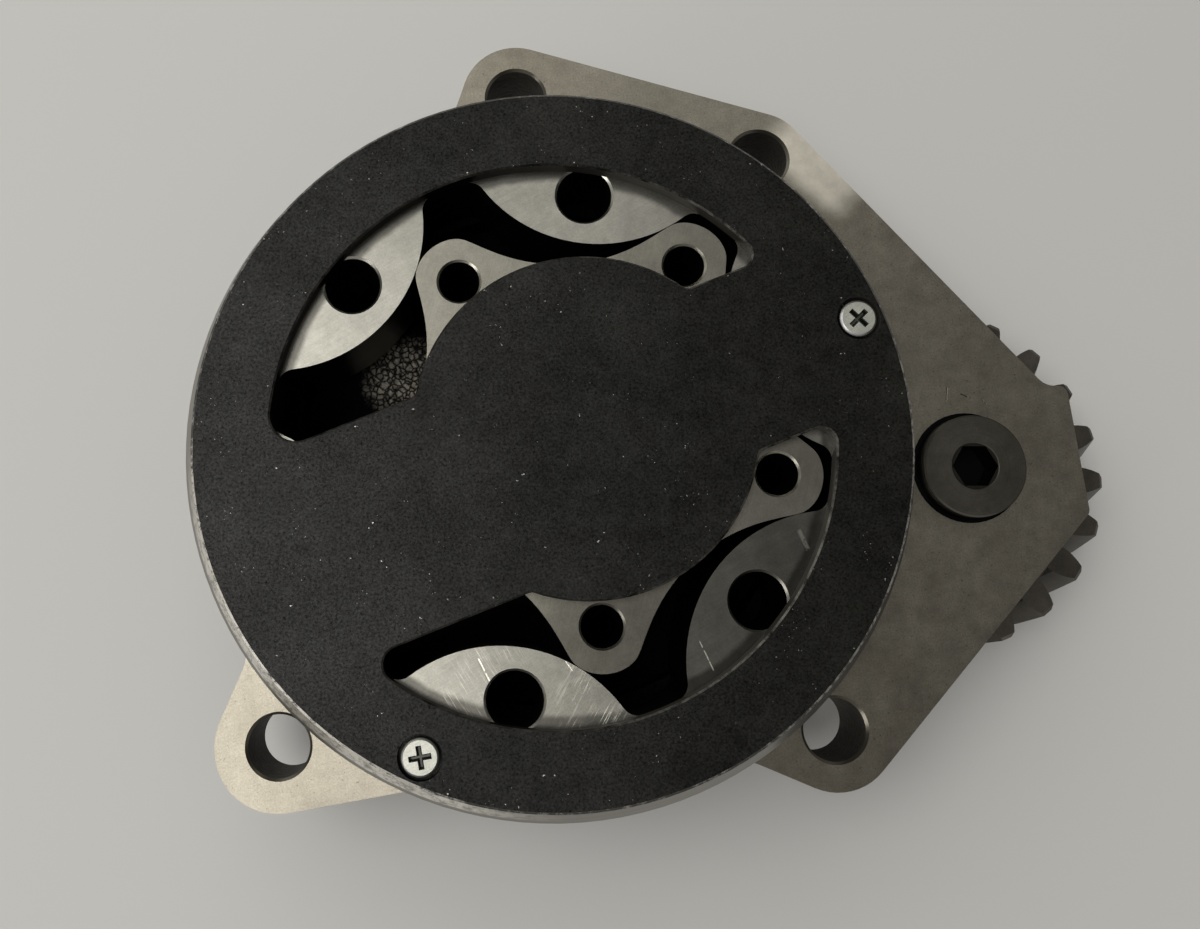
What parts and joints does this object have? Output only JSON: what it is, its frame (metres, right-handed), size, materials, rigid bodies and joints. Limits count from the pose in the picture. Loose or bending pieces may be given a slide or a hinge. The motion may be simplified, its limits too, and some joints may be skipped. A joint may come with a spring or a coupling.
{
  "type": "gerotor engine oil pump",
  "caption": "Gerotor engine oil pump with a flanged iron body, ported end plate, meshing rotors and a helical drive and idler gear.",
  "frame": {"origin": "barrel axis where it meets the ground rear face of the mounting flange", "axes": "+Z along the barrel towards the port plate, +X towards the idler gear"},
  "size_m": [0.1432, 0.1169, 0.051],
  "materials": {
    "cast_iron_body": "ground and as-cast",
    "black_oxide_steel": "satin black oxide",
    "zinc_screw": "zinc plated",
    "dowel_steel": "ground",
    "sintered_steel": "ground",
    "shaft_steel": "ground",
    "gear_steel": "machined",
    "pin_steel": "dark heat treated",
    "bronze": "machined",
    "ring_steel": "phosphated",
    "washer_steel": "ground"
  },
  "bodies": {
    "housing": {"pump_body": "cast_iron_body", "port_plate": "black_oxide_steel", "cover_screws": "zinc_screw", "plate_dowels": "dowel_steel", "rear_shaft_bush": "bronze", "front_shaft_bush": "bronze", "gear_thrust_washer": "washer_steel", "idler_pin": "pin_steel", "idler_rear_washer": "washer_steel", "idler_front_washer": "washer_steel", "idler_retaining_ring": "ring_steel"},
    "drive": {"drive_shaft": "shaft_steel", "inner_rotor": "sintered_steel", "rotor_key": "shaft_steel", "drive_gear": "gear_steel", "gear_key": "shaft_steel", "gear_retaining_ring": "ring_steel"},
    "ring": {"outer_rotor": "sintered_steel"},
    "idler": {"idler_gear": "gear_steel", "idler_bush": "bronze"}
  },
  "joints": [
    {"name": "shaft_spin", "type": "hinge", "parent": "housing", "child": "drive", "pos_m": [0.00466, 0.00168, 0], "axis": [0, 0, 1], "continuous": true},
    {"name": "ring_spin", "type": "hinge", "parent": "housing", "child": "ring", "pos_m": [0, 0, 0], "axis": [0, 0, 1], "continuous": true},
    {"name": "idler_spin", "type": "hinge", "parent": "housing", "child": "idler", "pos_m": [0.06288, -0.00219, 0], "axis": [0, 0, 1], "continuous": true}
  ],
  "couplings": [
    {"joint": "ring_spin", "follows": "shaft_spin", "ratio": 0.83333},
    {"joint": "idler_spin", "follows": "shaft_spin", "ratio": -1.2727}
  ]
}
